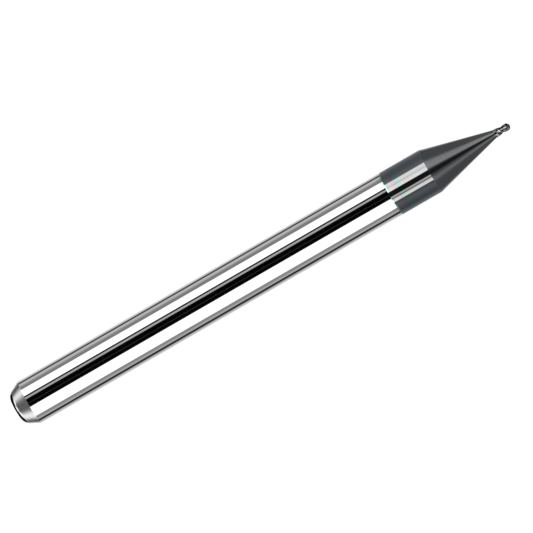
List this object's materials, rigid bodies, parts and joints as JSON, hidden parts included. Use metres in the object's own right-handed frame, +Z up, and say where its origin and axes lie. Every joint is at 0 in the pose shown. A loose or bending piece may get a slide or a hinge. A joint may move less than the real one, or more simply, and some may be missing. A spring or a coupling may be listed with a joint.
{
  "type": "ball-nose end mill",
  "caption": "Micro ball-nose end mill: straight polished shank, long cone, tiny helical-fluted ball cutter, coated front, brazed head.",
  "frame": {"origin": "on the surface that the tool lies on, below its axis and halfway between its rear face and its ball tip", "axes": "+X along the tool's axis towards the ball tip, +Z up from the surface that the tool lies on"},
  "size_m": [0.0382, 0.0032, 0.0032],
  "materials": {
    "polished_shank": "polished",
    "coated_carbide": "satin",
    "dark_coating": "gloss",
    "braze_alloy": "satin"
  },
  "bodies": {
    "root": {"shank": "polished_shank", "cutting_head": "coated_carbide", "braze_film": "braze_alloy", "hard_coating": "dark_coating"}
  },
  "joints": []
}
